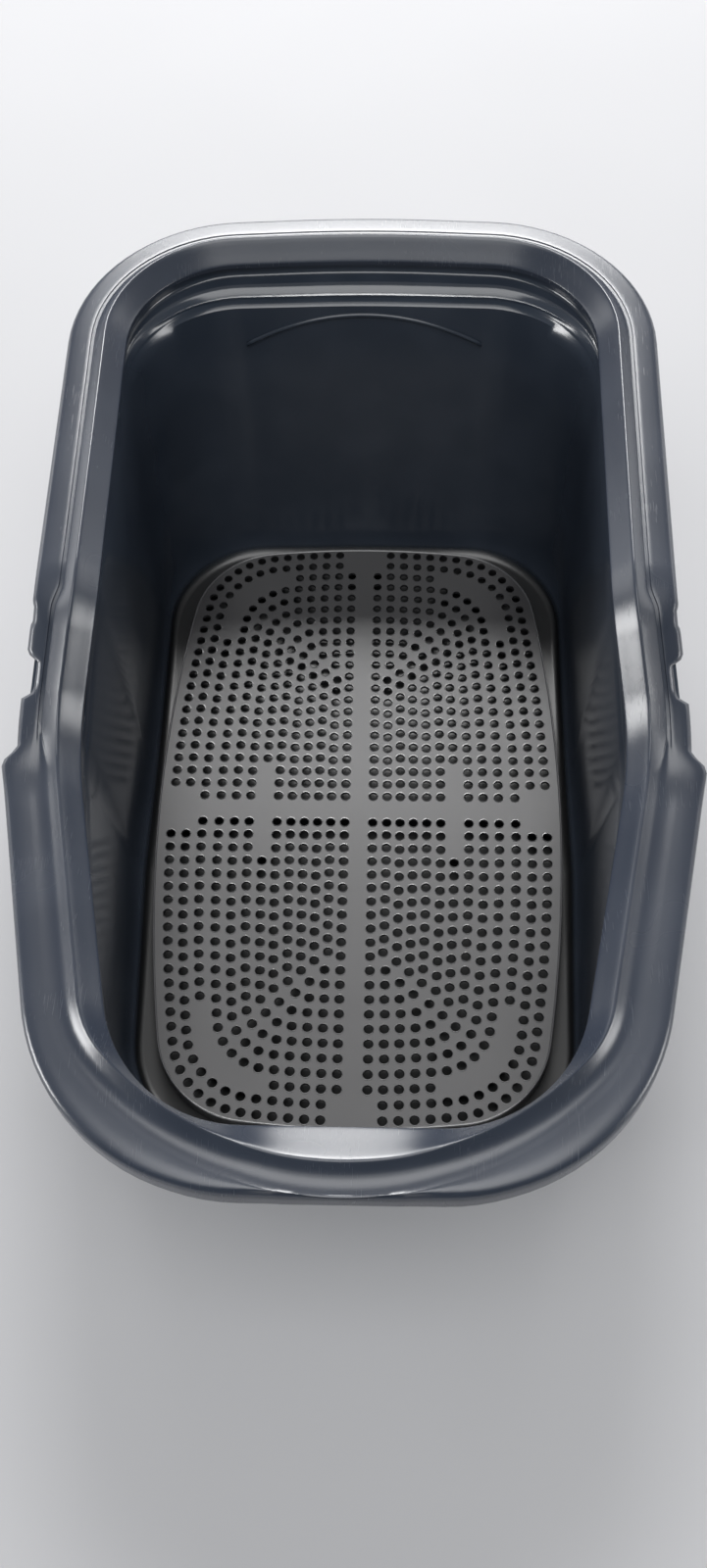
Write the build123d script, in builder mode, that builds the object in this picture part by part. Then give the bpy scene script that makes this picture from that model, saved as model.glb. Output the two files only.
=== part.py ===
"""Open litter box in three mouldings: a deep tub, a sieve tray that lifts out of it,
and a litter guard frame that clips over the tub's rim.

Millimetres. +Z is up, +Y points to the high back, the entry is at -Y, and the origin
is on the ground below the middle of the whole box.
"""
import os
from math import acos, asin, atan2, degrees

from build123d import *

os.makedirs("parts", exist_ok=True)

# ---- the rim line: the guard frame's inner edge -----------------------------------
BACK_RIM = 210.0            # height of the rim line round the back
FRONT_RIM = 160.0           # height of the rim line round the entry
BACK_Y = 263.5              # where the back line meets the side line
BACK_CROWN = 271.5          # the back line's middle, which bows outward
SLOPE_TOP_Y = 9.0           # the rim line starts to fall here
SLOPE_FOOT_Y = -58.0        # and is down to the entry height here
ENTRY_Y = -269.9            # straight front edge that the cat steps over
BACK_HALF = 144.6           # half width at the back corner
WAIST_HALF = 140.8          # half width where the slope starts
SHOULDER_HALF = 153.0       # half width where the slope ends, the widest place
ENTRY_HALF = 110.8          # half width where the side line meets the front edge
CROWN_R, BACK_R, WAIST_R, SHOULDER_R, ENTRY_R = 850.0, 68.0, 60.0, 80.0, 75.0
SLOPE_TOP_R, SLOPE_FOOT_R = 60.0, 89.5      # the same two bends in the side view

# ---- the tub ----------------------------------------------------------------------
WALL = 2.5
FOOT_H = 3.0                # ring that the tub stands on
FOOT_W = 9.0
FOOT_INSET = 6.0
FLOOR_TOP = FOOT_H + WALL
WALL_TOP = 212.0            # the drafted wall is lofted up to here, then trimmed
LEDGE_DROP = 11.0           # the wall ends in a ledge this far below the rim line
COLLAR_T = 3.0              # the upright collar stands this far outside the rim line
COLLAR_Y = -62.0            # and runs round the back from here; in front the wall meets the flange
SHOULDER_H = -1.2           # top of the flange, from the rim line's height
FLANGE_T = 30.5             # and how far outside the rim line it ends
SEAT_H = 2.6                # raised bead along its edge, which the guard frame sits on
SEAT_FOOT_W, SEAT_TOP_W = 6.0, 4.0
LIP_DROP = 8.0              # the edge is turned down to here
FLANGE_GAUGE = 2.2          # thickness of the lip
OVERLAP = 1.0               # solids that are joined run this far into each other
FLANGE_ROOT = 1.5           # the flange starts this far outside the rim line, inside the collar
HIGH = 300.0                # taller than everything, for trimming prisms
FAR = 400.0                 # beyond both ends of the box

# ---- the sieve tray ---------------------------------------------------------------
SIEVE_Y = -19.5             # middle of the tray
SIEVE_TOP = 18.0
SIEVE_T = 2.2
# the plate's outline: half width, bow of the sides, half length, bow of the ends, corner
PLATE = (131.0, 1000.0, 211.5, 600.0, 60.0)
TRAY_WALL_T = 2.0           # the low wall round the plate stands on the tub's floor
TRAY_LIP = 0.5              # and ends in a rounded lip this far above the plate
RIB_T = 2.4
RIB_INSET = 8.0             # the long ribs end this far inside the plate's edge
CORNER_RIB_TRIM = 6         # degrees that a curved rib is short of its corner, at each end
RIB_FOOT = FLOOR_TOP + 0.3
PITCH = 9.3                 # spacing of the moulded rings of holes
RING_STEP, HOLE_STEP = 2, 3  # this model opens every second ring and every third hole
# each ring's column, in pitches from the middle, and how it bends at the corner
COLUMNS = [13.05, 12.0, 10.9, 9.75, 8.68, 7.65, 6.64, 5.7, 4.73, 3.79, 2.87, 1.95, 0.975]
RING_BENDS = [5.5, 4.9, 4.3, 3.7, 3.1, 2.6, 2.2, 1.9, 1.6, 1.2, 0.8, 0.5]
SIDE_BOW, END_BOW = 1000.0, 520.0   # the outermost ring's; the inner columns are straighter
LAST_ROW, ROW_STEP = 22.2, 1.012    # the outermost ring's end, and the step from ring to ring
FIRST_ROW = 1.03            # first hole beside the plain cross bar
BLANK_RING = 2              # this ring is left plain round the corner
BLANK_FROM, BLANK_TO = 14.7, 5.3
STUB_RING = 6               # this one starts some rows late, over a short rib
STUB_ROWS = 3
SHORT_RINGS = 2             # the outermost ones start a row late and end a column early
HOLE_D = 0.63 * PITCH

# ---- the guard frame --------------------------------------------------------------
CREST_T, CREST_H = 11.4, 12.0   # the guard lip's crest, outside and above the rim line
SKIRT_DROP = 9.0            # the skirt hangs this far below the rim line
SKIRT_T = 35.5              # rim line to the skirt's outer face
SKIN = 2.0
ENTRY_CREST_R = 165.0       # the crest swings out over the entry in this arc
ENTRY_CREST_Y = -124.0      # and this is its centre
CREST_BEND_R = 60.0
JOIN_Y = -96.0              # the entry part of the frame is in front of this line
APRON_STEP_Y = -64.0        # the frame's outline steps out in front of this line
APRON_HALF = 194.2          # outline of the wider entry part
APRON_FRONT_HALF = 145.5
APRON_Y = -305.5
APRON_R = 116.0
NOTCH_Y = -23.0             # middle of the clip window in each side of the skirt
NOTCH_L = 17.0
NOTCH_T = 29.2              # the window reaches in to here

GUIDE_H = 60.0              # a swept section is kept upright by a line this far above its path

# the frame's section outside the crest, from the crest: distance out, height above rim
GUTTER_TOP = [(0.0, 12.0), (1.4, 11.6), (5.6, 6.9), (8.0, 6.6), (10.2, 7.2), (15.6, 5.4)]
GUTTER_UNDER = [(15.2, 3.3), (10.4, 4.9), (5.0, 4.4), (0.4, 9.3)]
FLANGE_H = 4.9              # top of the flange at its outer edge
LIP_UNDER = [(2.3, -0.9), (2.3, -2.5), (0.0, -2.5)]
LIP_STEPS = [(5.5, 1.6), (9.5, 4.0), (13.5, 6.4)]   # the entry lip's underside: reach, height


def both_sides(half):
    """Close a half outline, given from the back's middle to the front, over X = 0."""
    middle, side = half[:1], half[1:]
    return middle + side + [(-p[0], *p[1:]) for p in reversed(side)]


def both_radii(side):
    """The bends all round, from those of one side."""
    return [CROWN_R] + side + side[::-1]


RIM_LINE = both_sides([
    (0, BACK_CROWN, BACK_RIM),
    (BACK_HALF, BACK_Y, BACK_RIM),
    (WAIST_HALF, SLOPE_TOP_Y, BACK_RIM),
    (SHOULDER_HALF, SLOPE_FOOT_Y, FRONT_RIM),
    (ENTRY_HALF, ENTRY_Y, FRONT_RIM),
])
RIM_RADII = both_radii([BACK_R, WAIST_R, SHOULDER_R, ENTRY_R])

# the drafted wall's inside, at the foot ring and where it is lofted up to
TUB_FOOT = both_sides([
    (0, 204), (140.2, 201), (139.8, 16.5), (140.8, -59.5), (136.6, -180), (125.1, -242.4)])
TUB_HEAD = both_sides([
    (0, 259), (146.4, 254), (142.3, 16.5), (161.4, -59.5), (131.9, -210), (117, -283.5)])
TUB_RADII = both_radii([70, 90, 90, 90, 65])


def outline(corners, radii, grow=0.0):
    """A flat face with rounded corners, let out by grow."""
    with BuildSketch() as shape:
        with BuildLine():
            FilletPolyline(*[(p[0], p[1]) for p in corners], radius=radii, close=True)
        make_face()
        if grow:
            offset(amount=grow)
    return shape.sketch


def rim_outline(grow=0.0):
    """The rim line seen from above, let out by grow."""
    return outline(RIM_LINE, RIM_RADII, grow)


def prism(face, low=0.0, high=HIGH):
    """An upright block over a flat face."""
    with BuildPart() as block:
        with BuildSketch(Plane.XY.offset(low)):
            add(face)
        extrude(amount=high - low)
    return block.part


def tapered(low_face, low, high_face, high):
    """A block that runs straight from one flat face up to another."""
    with BuildPart() as block:
        with BuildSketch(Plane.XY.offset(low)):
            add(low_face)
        with BuildSketch(Plane.XY.offset(high)):
            add(high_face)
        loft(ruled=True)
    return block.part


def below_rim(height):
    """Everything below the rim line's side view, raised by height."""
    back, front = BACK_RIM + height, FRONT_RIM + height
    with BuildPart() as block:
        with BuildSketch(Plane.YZ):
            with BuildLine():
                FilletPolyline((-FAR, front), (SLOPE_FOOT_Y, front), (SLOPE_TOP_Y, back), (FAR, back),
                               radius=[SLOPE_FOOT_R, SLOPE_TOP_R])
                Polyline((FAR, back), (FAR, -FAR), (-FAR, -FAR), (-FAR, front))
            make_face()
        extrude(amount=HIGH, both=True)
    return block.part


def in_front_of(y):
    """A block that takes in everything on the entry's side of a line across the box."""
    with BuildPart() as block:
        with Locations((0, y - FAR / 2, FRONT_RIM)):
            Box(2 * FAR, FAR, FAR)
    return block.part


def tub_cavity(grow=0.0, low=FLOOR_TOP):
    """The room between the drafted walls, let out by grow."""
    return tapered(outline(TUB_FOOT, TUB_RADII, grow), low, outline(TUB_HEAD, TUB_RADII, grow), WALL_TOP)


def carried_round(path, section):
    """Sweep a section, drawn as (distance outside, height above) the path, round it."""
    start, along = path @ 0, path % 0
    out = along.cross(Vector(0, 0, 1))
    if out.X * start.X + out.Y * start.Y < 0:
        out = out * -1
    with BuildPart() as ring:
        with BuildSketch(Plane(origin=start, x_dir=out, z_dir=out.cross(Vector(0, 0, 1)))):
            with BuildLine():
                Polyline(*section, close=True)
            make_face()
        # the same line held higher keeps the section upright on the slopes
        sweep(path=path, binormal=path.moved(Location((0, 0, GUIDE_H))))
    return ring.part


def round_rim(section):
    """A section carried all the way round the rim line."""
    with BuildLine() as rim:
        FilletPolyline(*RIM_LINE, radius=RIM_RADII, close=True)
    return carried_round(rim.wire(), section)


# ---- litter_tub: drafted walls, ledge, upright collar and down-turned flange -------
def rim_band(low, high, outer, inner=None):
    """A band that follows the rim line: its heights above it, and how far it reaches out."""
    with BuildPart() as band:
        add(prism(rim_outline(outer)))
        add(below_rim(high), mode=Mode.INTERSECT)
        add(below_rim(low), mode=Mode.SUBTRACT)
        if inner is not None:
            add(prism(rim_outline(inner)), mode=Mode.SUBTRACT)
    return band.part


FLANGE = [
    (FLANGE_ROOT, SHOULDER_H), (FLANGE_T - SEAT_FOOT_W, SHOULDER_H), (FLANGE_T - SEAT_TOP_W, SEAT_H),
    (FLANGE_T, SEAT_H), (FLANGE_T, -LIP_DROP), (FLANGE_T - FLANGE_GAUGE, -LIP_DROP),
    (FLANGE_T - FLANGE_GAUGE, SHOULDER_H - WALL), (FLANGE_ROOT, SHOULDER_H - WALL),
]
with BuildPart() as litter_tub:
    add(tub_cavity(WALL, FOOT_H))
    add(below_rim(SHOULDER_H - OVERLAP), mode=Mode.INTERSECT)
    with BuildPart(mode=Mode.PRIVATE) as collar:
        add(rim_band(-LEDGE_DROP - WALL, SHOULDER_H - OVERLAP, COLLAR_T + WALL))
        add(in_front_of(COLLAR_Y), mode=Mode.SUBTRACT)
    add(collar.part)
    add(round_rim(FLANGE))
    add(tub_cavity(), mode=Mode.SUBTRACT)
    with BuildPart(mode=Mode.PRIVATE) as mouth:
        add(rim_band(-LEDGE_DROP, SEAT_H, COLLAR_T))
        add(in_front_of(COLLAR_Y), mode=Mode.SUBTRACT)
    add(mouth.part, mode=Mode.SUBTRACT)
    with BuildSketch(Plane.XY):
        add(outline(TUB_FOOT, TUB_RADII, -FOOT_INSET))
        add(outline(TUB_FOOT, TUB_RADII, -FOOT_INSET - FOOT_W), mode=Mode.SUBTRACT)
    extrude(amount=FOOT_H)
litter_tub.part.label = "litter_tub"
export_step(litter_tub.part, "parts/litter_tub.step")


# ---- sieve_wall: the tray's low wall, with a rounded lip round the plate ------------
def bowed_corner(half_x, side_bow, half_y, end_bow, corner):
    """Centre of the arc that rounds a bowed rectangle's corner, and the angles it runs between."""
    gap = Vector(side_bow - half_x, half_y - end_bow)
    reach, other = side_bow - corner, end_bow - corner
    share = (reach ** 2 - other ** 2 + gap.length ** 2) / (2 * gap.length)
    along = gap.normalized()
    middle = Vector(half_x - side_bow, 0) + along * share
    middle += Vector(-along.Y, along.X) * (reach ** 2 - share ** 2) ** 0.5
    begin = degrees(atan2(middle.Y, middle.X - half_x + side_bow))
    end = degrees(atan2(middle.Y - half_y + end_bow, middle.X))
    return (middle.X, middle.Y), begin, end


def bowed_quarter(sizes, first=0.0, last=0.0):
    """Up the bowed side from first, round the corner and in along the bowed end to last."""
    half_x, side_bow, half_y, end_bow, corner = sizes
    middle, begin, end = bowed_corner(*sizes)
    start, stop = degrees(asin(first / side_bow)), degrees(acos(last / end_bow))
    with BuildLine() as line:
        CenterArc((half_x - side_bow, 0), side_bow, start, begin - start)
        CenterArc(middle, corner, begin, end - begin)
        CenterArc((0, half_y - end_bow), end_bow, end, stop - end)
    return line.wire()


def tray_outline(grow=0.0):
    """The plate's bowed outline, let out by grow."""
    with BuildSketch() as shape:
        with BuildLine():
            add(bowed_quarter([size + grow for size in PLATE]))
            mirror(about=Plane.YZ)
            mirror(about=Plane.XZ)
        make_face()
    return shape.sketch.moved(Location((0, SIEVE_Y, 0)))


with BuildPart() as sieve_wall:
    add(prism(tray_outline(), RIB_FOOT, SIEVE_TOP + TRAY_LIP))
    fillet(sieve_wall.edges().group_by(Axis.Z)[-1], 0.6 * TRAY_WALL_T)
    add(prism(tray_outline(-TRAY_WALL_T), RIB_FOOT - 1, SIEVE_TOP + 1), mode=Mode.SUBTRACT)
sieve_wall.part.label = "sieve_wall"
export_step(sieve_wall.part, "parts/sieve_wall.step")


# ---- sieve_floor: the perforated plate ----------------------------------------------
def ring_sizes(ring):
    """The bowed rectangle that one ring of holes follows."""
    column = COLUMNS[ring]
    row = (LAST_ROW - ROW_STEP * ring) * PITCH
    return column * PITCH, SIDE_BOW * COLUMNS[0] / column, row, END_BOW, RING_BENDS[ring] * PITCH


def ring_line(ring):
    """One ring of holes in the far right quarter: up its column, round, along its row."""
    short = ring < SHORT_RINGS
    first = (FIRST_ROW + (STUB_ROWS if ring == STUB_RING else short)) * PITCH
    if ring == len(COLUMNS) - 1:
        with BuildLine() as line:
            Line((COLUMNS[ring] * PITCH, first), (COLUMNS[ring] * PITCH, (LAST_ROW - ROW_STEP * ring) * PITCH))
        return line.wire()
    return bowed_quarter(ring_sizes(ring), first, COLUMNS[-2 if short else -1] * PITCH)


def ring_holes(ring):
    """Where the ring is drilled, leaving the blank ring's corner plain."""
    line = ring_line(ring)
    count = round(line.length / (HOLE_STEP * PITCH))
    places = [line @ (i / count) for i in range(count + 1)]
    return [p for p in places
            if ring != BLANK_RING or p.Y < BLANK_FROM * PITCH or p.X < BLANK_TO * PITCH]


quarter = [p for ring in range(0, len(COLUMNS), RING_STEP) for p in ring_holes(ring)]
holes = [(sx * p.X, SIEVE_Y + sy * p.Y) for p in quarter for sx in (1, -1) for sy in (1, -1)]
with BuildPart() as sieve_floor:
    with BuildSketch(Plane.XY.offset(SIEVE_TOP - SIEVE_T)):
        add(tray_outline(-TRAY_WALL_T))
        with Locations(*holes):
            RegularPolygon(HOLE_D / 2, 6, mode=Mode.SUBTRACT)
    extrude(amount=SIEVE_T)
sieve_floor.part.label = "sieve_floor"
export_step(sieve_floor.part, "parts/sieve_floor.step")


# ---- sieve_ribs: upright webs under the plain bars and the plain corners ------------
with BuildPart() as sieve_ribs:
    with BuildSketch(Plane.XY.offset(RIB_FOOT)):
        with Locations((0, SIEVE_Y)):
            Rectangle(2 * (PLATE[0] - RIB_INSET), RIB_T)
            Rectangle(RIB_T, 2 * (PLATE[2] - RIB_INSET))
        stub_x = COLUMNS[STUB_RING] * PITCH
        with Locations((-stub_x, SIEVE_Y), (stub_x, SIEVE_Y)):
            Rectangle(RIB_T, 2 * STUB_ROWS * PITCH)
        # a curved rib under each plain corner
        corner, begin, end = bowed_corner(*ring_sizes(BLANK_RING))
        begin, sweep_angle = begin + CORNER_RIB_TRIM, end - begin - 2 * CORNER_RIB_TRIM
        for sx, sy, turn in ((1, 1, begin), (-1, 1, 180 - begin - sweep_angle),
                             (-1, -1, 180 + begin), (1, -1, -begin - sweep_angle)):
            with BuildLine():
                CenterArc((sx * corner[0], SIEVE_Y + sy * corner[1]), RING_BENDS[BLANK_RING] * PITCH,
                          turn, sweep_angle)
                offset(amount=RIB_T / 2, side=Side.BOTH)
            make_face()
    extrude(amount=SIEVE_TOP - SIEVE_T - RIB_FOOT)
sieve_ribs.part.label = "sieve_ribs"
export_step(sieve_ribs.part, "parts/sieve_ribs.step")


# ---- rim_frame: guard lip, crest, gutter, flange and skirt --------------------------
def entry_outline(out, grow=0.0):
    """The rim line's entry part, let out sideways, closed by a chord behind the join."""
    taper = (SHOULDER_HALF - ENTRY_HALF) / (SLOPE_FOOT_Y - ENTRY_Y)
    chord_y = JOIN_Y + 6
    back = SHOULDER_HALF + out * (1 + taper ** 2) ** 0.5 - taper * (SLOPE_FOOT_Y - chord_y)
    end_y = ENTRY_Y - (20 if out else 0)
    front = back - taper * (chord_y - end_y)
    with BuildSketch() as shape:
        with BuildLine():
            Polyline((back, chord_y), (front, end_y), (-front, end_y), (-back, chord_y), close=True)
        make_face()
        if out:
            with Locations((0, ENTRY_CREST_Y)):
                Circle(ENTRY_CREST_R, mode=Mode.INTERSECT)
        fillet(shape.vertices().group_by(Axis.Y)[0], CREST_BEND_R if out else ENTRY_R)
        if grow:
            offset(amount=grow, kind=Kind.INTERSECTION)
    return shape.sketch


def apron_outline(grow=0.0):
    """The entry part stands out from the frame's sides by one small step."""
    half = [(APRON_HALF - 12, APRON_STEP_Y + 6), (APRON_HALF, APRON_STEP_Y - 6),
            (APRON_FRONT_HALF, APRON_Y)]
    corners = half + [(-x, y) for x, y in reversed(half)]
    with BuildSketch() as shape:
        with BuildLine():
            FilletPolyline(*corners, radius=[0.5, 6, APRON_R, APRON_R, 6, 0.5], close=True)
        make_face()
        if grow:
            offset(amount=grow)
    return shape.sketch


GUTTER = [(CREST_T + t, h) for t, h in GUTTER_TOP]
GUTTER_BACK = [(CREST_T + t, h) for t, h in GUTTER_UNDER]
EDGE = [(SKIRT_T - SKIN, FLANGE_H), (SKIRT_T - 0.5, FLANGE_H - 1.5), (SKIRT_T, -SKIRT_DROP),
        (SKIRT_T - SKIN, -SKIRT_DROP), (SKIRT_T - SKIN - 0.4, FLANGE_H - SKIN)]
with BuildPart() as rim_frame:
    add(round_rim([(0, 0.3)] + GUTTER + EDGE + GUTTER_BACK + LIP_UNDER))
    # behind the join the swept section stays, less the skirt that the apron takes over
    add(in_front_of(JOIN_Y), mode=Mode.SUBTRACT)
    with BuildPart(mode=Mode.PRIVATE) as bare_skirt:
        add(prism(rim_outline(SKIRT_T + 2)))
        add(prism(rim_outline(SKIRT_T - SKIN - 1)), mode=Mode.SUBTRACT)
        add(below_rim(FLANGE_H - SKIN), mode=Mode.INTERSECT)
        add(in_front_of(APRON_STEP_Y + 1), mode=Mode.INTERSECT)
    add(bare_skirt.part, mode=Mode.SUBTRACT)
    # apron: the wider skirt round the entry, with the flange's outer edge
    with BuildPart(mode=Mode.PRIVATE) as apron:
        add(prism(apron_outline()))
        add(below_rim(FLANGE_H), mode=Mode.INTERSECT)
        add(below_rim(-SKIRT_DROP), mode=Mode.SUBTRACT)
        with BuildPart(mode=Mode.PRIVATE) as hollow:
            add(prism(apron_outline(-SKIN)))
            add(below_rim(FLANGE_H - SKIN), mode=Mode.INTERSECT)
        add(hollow.part, mode=Mode.SUBTRACT)
        add(prism(rim_outline(SKIRT_T - SKIN - 0.5)), mode=Mode.SUBTRACT)
    add(apron.part)
    # gutter: the same section carried along the crest instead, trimmed by the apron
    with BuildPart(mode=Mode.PRIVATE) as gutter:
        crest = Wire(entry_outline(CREST_T).edges().filter_by_position(Axis.Y, APRON_Y, JOIN_Y))
        add(carried_round(crest, GUTTER_TOP + [(31, FLANGE_H), (31, FLANGE_H - SKIN)] + GUTTER_UNDER)
            .moved(Location((0, 0, FRONT_RIM))))
        add(prism(apron_outline(-0.5)), mode=Mode.INTERSECT)
        add(in_front_of(JOIN_Y), mode=Mode.INTERSECT)
    add(gutter.part)
    # lip: slopes from the rim line up to the crest, widest over the entry, stepped below
    low, high = FRONT_RIM + 0.3, FRONT_RIM + CREST_H
    with BuildPart(mode=Mode.PRIVATE) as lip:
        add(prism(entry_outline(CREST_T, 1.0), FRONT_RIM - 0.6, high))
        for reach, under in LIP_STEPS:
            with BuildPart(mode=Mode.PRIVATE) as step:
                add(prism(entry_outline(CREST_T, 0.4), FRONT_RIM - 1, FRONT_RIM + under))
                add(prism(rim_outline(reach)), mode=Mode.SUBTRACT)
            add(step.part, mode=Mode.SUBTRACT)
        add(prism(rim_outline(2.3), FRONT_RIM - 2.5, FRONT_RIM - 0.6))
        add(tapered(entry_outline(0), low, entry_outline(CREST_T), high), mode=Mode.SUBTRACT)
        add(prism(rim_outline(), high=low), mode=Mode.SUBTRACT)
        add(in_front_of(JOIN_Y), mode=Mode.INTERSECT)
    add(lip.part)
    # clip windows on the slopes
    with BuildPart(mode=Mode.PRIVATE) as windows:
        with Locations((0, NOTCH_Y, BACK_RIM)):
            Box(500, NOTCH_L, 200)
        add(prism(rim_outline(NOTCH_T)), mode=Mode.SUBTRACT)
    add(windows.part, mode=Mode.SUBTRACT)
rim_frame.part.label = "rim_frame"
export_step(rim_frame.part, "parts/rim_frame.step")
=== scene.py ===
"""Looks of an open litter box: glossy dark tub, satin guard frame and a moulded sieve tray."""
from math import atan2, cos, pi, radians, sin, tan

import bmesh
import bpy
from mathutils import Matrix, Vector, kdtree


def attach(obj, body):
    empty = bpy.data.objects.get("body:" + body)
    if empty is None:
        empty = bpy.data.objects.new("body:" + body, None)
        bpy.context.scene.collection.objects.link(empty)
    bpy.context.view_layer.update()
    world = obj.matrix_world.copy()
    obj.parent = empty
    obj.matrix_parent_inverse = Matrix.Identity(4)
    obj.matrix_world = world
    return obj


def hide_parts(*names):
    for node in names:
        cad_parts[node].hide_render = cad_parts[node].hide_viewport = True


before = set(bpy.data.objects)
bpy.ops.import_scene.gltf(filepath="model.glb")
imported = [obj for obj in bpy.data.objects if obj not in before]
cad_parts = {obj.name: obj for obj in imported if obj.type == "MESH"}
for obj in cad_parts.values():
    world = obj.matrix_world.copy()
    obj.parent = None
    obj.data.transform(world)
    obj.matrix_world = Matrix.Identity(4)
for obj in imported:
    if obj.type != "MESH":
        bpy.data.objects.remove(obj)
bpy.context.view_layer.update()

MM = 0.001                  # every size below is in millimetres, and the scene is in metres

# ---- the rim line, as in the CAD -----------------------------------------------------
BACK_RIM, FRONT_RIM = 210.0, 160.0
CROWN_R = 850.0
RIM_HALF = [(0, 271.5, BACK_RIM), (144.6, 263.5, BACK_RIM), (140.8, 9.0, BACK_RIM),
            (153.0, -58.0, FRONT_RIM), (110.8, -269.9, FRONT_RIM)]
RIM_BENDS = [68.0, 60.0, 80.0, 75.0]

# ---- the guard frame -----------------------------------------------------------------
CREST_T, CREST_H = 11.2, 12.0
ENTRY_CREST_H = 10.0
ENTRY_CREST_R, ENTRY_CREST_Y, CREST_BEND_R = 165.0, -124.0, 60.0
FRAME_T = 35.4
SKIRT_DROP = 9.0
APRON = [(182.2, -58.0), (194.0, -70.0), (146.5, -300.7), (0.0, -306.7)]
APRON_BENDS = [6.0, 116.0]
ENTRY_EDGE = -305.5             # the frame's edge runs straight here for a short way
CREST_SWINGS_FROM, APRON_FROM = -90.0, -62.0    # the crest and the edge leave the rim line in front of here
NICK_Y, NICK_T = 3.5, 1.1       # a shallow nick in the edge behind each slope
NOTCH = (-14.5, -31.5)          # the skirt is drawn in here, where the clip windows are,
NOTCH_T = 29.2                  # to this far outside the rim line

# ---- the arched bead on the tub's back wall ------------------------------------------
BEAD_HALF, BEAD_TOP, BEAD_RISE, BEAD_R = 76.0, 184.0, 18.0, 1.6
BEAD_SIDE = 8                   # the wall's bow is taken from its middle to this station

# ---- the tub ---------------------------------------------------------------------------
FLOOR_TOP, HEAD_Z = 5.5, 212.0
WALL = 2.5
TUB_FOOT = [(0, 204.0), (140.2, 201.0), (139.8, 16.5), (140.8, -59.5), (134.5, -242.4)]
TUB_HEAD = [(0, 259.0), (146.4, 254.0), (142.3, 16.5), (158.0, -59.5), (117.0, -280.7)]
TUB_BENDS = [70.0, 90.0, 90.0, 70.0]
LEDGE_DROP, SHOULDER_TOP = 11.0, -1.2
FOOT_BEND, FOOT_RISE = 9.0, 24.0        # the curve between the floor and the walls
COLLAR_T = 3.0
FLANGE_T = 30.5
SEAT_TOP = 2.4                  # the flange's raised bead
LIP_DROP, LIP_T = 8.0, 2.2      # and its turned-down lip
COLLAR_FADE = (-74.0, -46.0)    # the collar fades out along the slopes
# from the wall's edge to the collar, as (share of the way, lift)
LEDGE_CURVE = [(0.01, -7.3), (0.04, -5.9), (0.1, -4.6), (0.3, -1.5), (0.38, -0.6), (0.46, -0.1),
               (0.56, 0.1), (0.8, 0.3), (0.9, 0.7), (0.96, 1.5)]
# the outside below the walls: round the bottom edge, then the ring it stands on, as (out, height)
FOOT_RING = [(2.2, 3.9), (1.2, 3.1), (0.4, 3), (-6, 3), (-6, 0.4), (-6.4, 0), (-14.6, 0),
             (-15, 0.4), (-15, 3), (-30, 3)]

# ---- the sieve tray --------------------------------------------------------------------
SIEVE_Y, SIEVE_TOP, SIEVE_T = -19.5, 18.0, 2.2
# the plate's outline: half width, bow of the sides, half length, bow of the ends, corner
PLATE = (131.0, 1000.0, 211.5, 600.0, 60.0)
TRAY_WALL_T = 1.5               # the low wall that carries the plate, and its rounded lip, from inside:
LIP = [(0.2, 18.08), (0.45, 18.36), (0.75, 18.5), (1.05, 18.46), (1.3, 18.28), (1.45, 18.0), (1.5, 17.6)]
TRAY_FOOT = 5.8
PITCH = 9.3
COLUMNS = [13.05, 12.0, 10.9, 9.75, 8.68, 7.65, 6.64, 5.7, 4.73, 3.79, 2.87, 1.95, 0.975]
LAST_ROW, ROW_STEP = 22.2, 1.012        # the outermost ring's far end, and the step from ring to ring
RING_BENDS = [5.5, 4.9, 4.3, 3.7, 3.1, 2.6, 2.2, 1.9, 1.6, 1.2, 0.8, 0.5]
SIDE_BOW, END_BOW = 1000.0, 520.0       # the outermost ring's bow; the inner columns are straighter
FIRST_ROW, SPACING = 1.03, 1.015
BLANK_RING = 2                  # this ring is left plain round its corner
BLANK_FROM, BLANK_TO = 14.7, 5.3
STUB_RING, STUB_ROWS = 6, 3     # this one starts three rows late
SHORT_RINGS = 2                 # the outermost rings start one row late and stop one column early
HOLE_R = 0.315 * PITCH
HOLE_SIDES = 12
COLLAR_W = 0.5                  # fine raised ring round each hole
# from that ring down through the hole, as (radius, height from the plate's top, whether it gets the painted
# highlight and extra gloss)
HOLE_EDGE = [(HOLE_R + 0.4, 0.26, 1), (HOLE_R + 0.1, 0.3, 1), (HOLE_R, 0.05, 0), (HOLE_R, 0.2 - SIEVE_T, 0),
             (HOLE_R + COLLAR_W, -SIEVE_T, 0)]
NEAR = 0.01                     # places closer than this are one


# ---- outlines ----------------------------------------------------------------------------
def steps(count):
    return [i / count for i in range(count + 1)]


def bend(before, corner, after, radius, fractions):
    """Points and directions along the arc that rounds one corner of a path."""
    into, away = (corner - before).normalized(), (after - corner).normalized()
    turn = into.angle(away)
    side = (away - into * cos(turn)).normalized()
    start = corner - into * radius * tan(turn / 2)
    return [(start + into * radius * sin(f * turn) + side * radius * (1 - cos(f * turn)),
             into * cos(f * turn) + side * sin(f * turn)) for f in fractions]


def half_outline(corners, bends, lines, arc=18, crown=4):
    """Points and directions from the back's middle to the entry's middle.

    lines gives the fractions at which each straight stretch gets a point.
    """
    spots = [Vector(c if len(c) == 3 else (*c, 0)) for c in corners]
    mirrored = spots[1].copy()
    mirrored.x = -mirrored.x
    end = spots[-1].copy()
    end.x = 0
    stops = [bend(mirrored, spots[0], spots[1], CROWN_R, [0.5 + 0.5 * f for f in steps(crown)])]
    for i, radius in enumerate(bends, 1):
        after = spots[i + 1] if i + 1 < len(spots) else end
        stops.append(bend(spots[i - 1], spots[i], after, radius, steps(arc)))
    stops.append([(end, Vector((-1, 0, 0)))])
    path = []
    for here, there, fractions in zip(stops, stops[1:], lines):
        path += here
        a, b = here[-1], there[0]
        path += [(a[0].lerp(b[0], f), a[1]) for f in fractions if 0 < f < 1]
    return path + stops[-1]


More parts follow.
